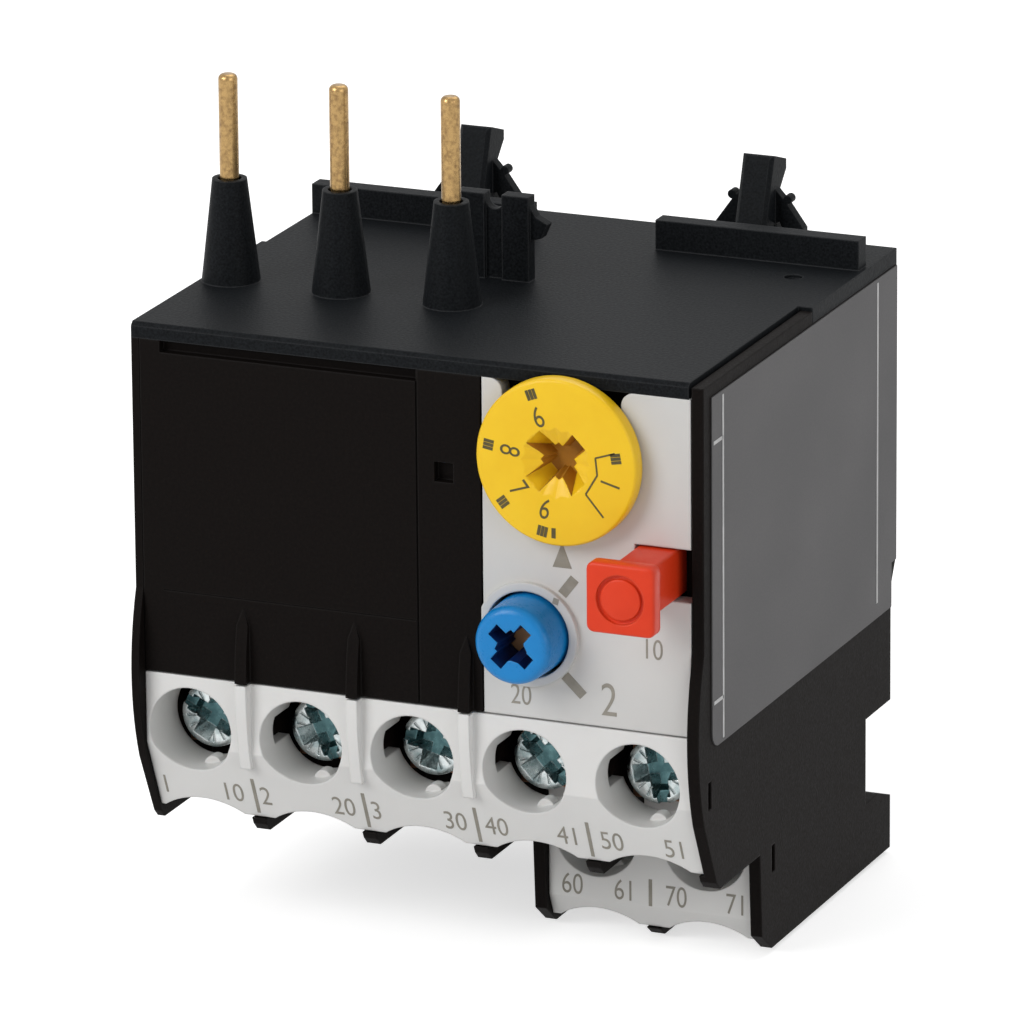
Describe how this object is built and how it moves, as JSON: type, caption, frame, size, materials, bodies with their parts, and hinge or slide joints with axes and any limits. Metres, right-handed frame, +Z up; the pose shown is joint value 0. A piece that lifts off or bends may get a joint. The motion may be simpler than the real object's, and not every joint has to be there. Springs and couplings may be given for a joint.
{
  "type": "thermal overload relay",
  "caption": "Thermal overload relay that plugs in under a mini contactor: contact pins and hooks on top, setting dial, reset and test buttons in front, screw terminals below.",
  "frame": {"origin": "on the top seating face, at mid width, in line with the three contact pins", "axes": "+X to the right seen from the front, +Y to the back, +Z up along the pins"},
  "size_m": [0.0451, 0.0504, 0.0628],
  "materials": {
    "black_housing": "moulded black thermoplastic, fine matt grain",
    "black_cover": "moulded black thermoplastic, fine matt grain",
    "light_grey_plastic": "moulded light grey thermoplastic, satin",
    "grey_label": "printed matt film",
    "yellow_plastic": "moulded yellow thermoplastic, satin",
    "steel": "stamped bright steel",
    "blue_plastic": "moulded blue thermoplastic, satin",
    "copper_tone_plastic": "moulded brown thermoplastic",
    "spring_wire": "drawn bright spring wire",
    "red_plastic": "moulded red thermoplastic, satin",
    "brown_plastic": "moulded brown thermoset",
    "copper": "rolled copper alloy",
    "brass": "turned brass, bright",
    "zinc_plated": "zinc plated steel, faint blue tint"
  },
  "bodies": {
    "relay_body": {"housing": "black_housing", "top_cover": "black_cover", "front_cover": "black_cover", "mechanism_frame": "black_housing", "faceplate": "light_grey_plastic", "upper_terminal_strip": "light_grey_plastic", "lower_terminal_strip": "light_grey_plastic", "side_label": "grey_label", "contactor_hook_left": "black_housing", "contactor_hook_right": "black_housing", "setting_pivot": "steel", "reset_spring": "spring_wire", "test_spring": "spring_wire", "carrier_spring": "spring_wire", "no_upper_contact": "copper", "nc_upper_contact": "copper", "no_lower_contact": "copper", "nc_lower_contact": "copper", "main_pin_1": "brass", "bimetal_strip_1": "steel", "heater_winding_1": "steel", "load_terminal_1": "copper", "main_pin_2": "brass", "bimetal_strip_2": "steel", "heater_winding_2": "steel", "load_terminal_2": "copper", "main_pin_3": "brass", "bimetal_strip_3": "steel", "heater_winding_3": "steel", "load_terminal_3": "copper"},
    "dial": {"setting_dial": "yellow_plastic", "dial_shaft": "brown_plastic"},
    "adjusting_lever": {"setting_lever": "steel"},
    "reset_slide": {"reset_plunger": "copper_tone_plastic"},
    "reset_turn_knob": {"reset_knob": "blue_plastic"},
    "test_slide": {"test_button": "red_plastic"},
    "slider": {"trip_slider": "brown_plastic"},
    "lever": {"trip_lever": "brown_plastic"},
    "carrier": {"contact_carrier": "brown_plastic", "no_contact_bridge": "copper", "nc_contact_bridge": "copper"},
    "clamp_1": {"clamp_washer_1": "zinc_plated"},
    "screw_1": {"terminal_screw_1": "zinc_plated"},
    "clamp_2": {"clamp_washer_2": "zinc_plated"},
    "screw_2": {"terminal_screw_2": "zinc_plated"},
    "clamp_3": {"clamp_washer_3": "zinc_plated"},
    "screw_3": {"terminal_screw_3": "zinc_plated"},
    "clamp_4": {"clamp_washer_4": "zinc_plated"},
    "screw_4": {"terminal_screw_4": "zinc_plated"},
    "clamp_5": {"clamp_washer_5": "zinc_plated"},
    "screw_5": {"terminal_screw_5": "zinc_plated"},
    "clamp_6": {"clamp_washer_6": "zinc_plated"},
    "screw_6": {"terminal_screw_6": "zinc_plated"},
    "clamp_7": {"clamp_washer_7": "zinc_plated"},
    "screw_7": {"terminal_screw_7": "zinc_plated"}
  },
  "joints": [
    {"name": "dial_turn", "type": "hinge", "parent": "relay_body", "child": "dial", "pos_m": [0.01165, -0.0129, -0.0066], "axis": [0, -1, 0], "range_deg": [0, 160]},
    {"name": "adjusting_lever_tilt", "type": "hinge", "parent": "relay_body", "child": "adjusting_lever", "pos_m": [0.0157, -0.0089, -0.0029], "axis": [0, -1, 0], "range_deg": [0, 15]},
    {"name": "reset_push", "type": "slide", "parent": "relay_body", "child": "reset_slide", "axis": [0, 1, 0], "range_m": [0, 0.002], "stiffness_N_per_m": 700, "springref_m": -0.0015, "deforming": ["reset_spring"]},
    {"name": "reset_mode_turn", "type": "hinge", "parent": "reset_slide", "child": "reset_turn_knob", "pos_m": [0.00885, -0.0129, -0.0202], "axis": [0, -1, 0], "range_deg": [0, 90]},
    {"name": "test_push", "type": "slide", "parent": "relay_body", "child": "test_slide", "axis": [0, 1, 0], "range_m": [0, 0.0025], "stiffness_N_per_m": 600, "springref_m": -0.0015, "deforming": ["test_spring"]},
    {"name": "carrier_lift", "type": "slide", "parent": "relay_body", "child": "carrier", "axis": [0, 0, 1], "range_m": [0, 0.0012], "stiffness_N_per_m": 500, "springref_m": -0.0006, "deforming": ["carrier_spring"]},
    {"name": "slider_shift", "type": "slide", "parent": "relay_body", "child": "slider", "axis": [1, 0, 0], "range_m": [0, 0.0015]},
    {"name": "trip_lever_turn", "type": "hinge", "parent": "relay_body", "child": "lever", "pos_m": [0.0109, 0.00395, -0.0134], "axis": [0, -1, 0], "range_deg": [0, 10.05]},
    {"name": "clamp_slide_1", "type": "slide", "parent": "relay_body", "child": "clamp_1", "axis": [0, -1, 0], "range_m": [0, 0.003]},
    {"name": "screw_turn_1", "type": "hinge", "parent": "clamp_1", "child": "screw_1", "pos_m": [-0.0183, -0.0089, -0.03095], "axis": [0, -1, 0], "range_deg": [0, 2160]},
    {"name": "clamp_slide_2", "type": "slide", "parent": "relay_body", "child": "clamp_2", "axis": [0, -1, 0], "range_m": [0, 0.003]},
    {"name": "screw_turn_2", "type": "hinge", "parent": "clamp_2", "child": "screw_2", "pos_m": [-0.0094, -0.0089, -0.03095], "axis": [0, -1, 0], "range_deg": [0, 2160]},
    {"name": "clamp_slide_3", "type": "slide", "parent": "relay_body", "child": "clamp_3", "axis": [0, -1, 0], "range_m": [0, 0.003]},
    {"name": "screw_turn_3", "type": "hinge", "parent": "clamp_3", "child": "screw_3", "pos_m": [-0.0005, -0.0089, -0.03095], "axis": [0, -1, 0], "range_deg": [0, 2160]},
    {"name": "clamp_slide_4", "type": "slide", "parent": "relay_body", "child": "clamp_4", "axis": [0, -1, 0], "range_m": [0, 0.003]},
    {"name": "screw_turn_4", "type": "hinge", "parent": "clamp_4", "child": "screw_4", "pos_m": [0.0084, -0.0089, -0.03095], "axis": [0, -1, 0], "range_deg": [0, 2160]},
    {"name": "clamp_slide_5", "type": "slide", "parent": "relay_body", "child": "clamp_5", "axis": [0, -1, 0], "range_m": [0, 0.003]},
    {"name": "screw_turn_5", "type": "hinge", "parent": "clamp_5", "child": "screw_5", "pos_m": [0.0173, -0.0089, -0.03095], "axis": [0, -1, 0], "range_deg": [0, 2160]},
    {"name": "clamp_slide_6", "type": "slide", "parent": "relay_body", "child": "clamp_6", "axis": [0, -1, 0], "range_m": [0, 0.003]},
    {"name": "screw_turn_6", "type": "hinge", "parent": "clamp_6", "child": "screw_6", "pos_m": [0.0091, 0.0029, -0.03935], "axis": [0, -1, 0], "range_deg": [0, 2160]},
    {"name": "clamp_slide_7", "type": "slide", "parent": "relay_body", "child": "clamp_7", "axis": [0, -1, 0], "range_m": [0, 0.003]},
    {"name": "screw_turn_7", "type": "hinge", "parent": "clamp_7", "child": "screw_7", "pos_m": [0.0178, 0.0029, -0.03935], "axis": [0, -1, 0], "range_deg": [0, 2160]}
  ],
  "couplings": [
    {"joint": "adjusting_lever_tilt", "follows": "dial_turn", "ratio": 0.09},
    {"joint": "slider_shift", "follows": "carrier_lift", "ratio": 1.25},
    {"joint": "trip_lever_turn", "follows": "carrier_lift", "rad_per_m": 145},
    {"joint": "screw_turn_1", "follows": "clamp_slide_1", "rad_per_m": 12566},
    {"joint": "screw_turn_2", "follows": "clamp_slide_2", "rad_per_m": 12566},
    {"joint": "screw_turn_3", "follows": "clamp_slide_3", "rad_per_m": 12566},
    {"joint": "screw_turn_4", "follows": "clamp_slide_4", "rad_per_m": 12566},
    {"joint": "screw_turn_5", "follows": "clamp_slide_5", "rad_per_m": 12566},
    {"joint": "screw_turn_6", "follows": "clamp_slide_6", "rad_per_m": 12566},
    {"joint": "screw_turn_7", "follows": "clamp_slide_7", "rad_per_m": 12566}
  ]
}
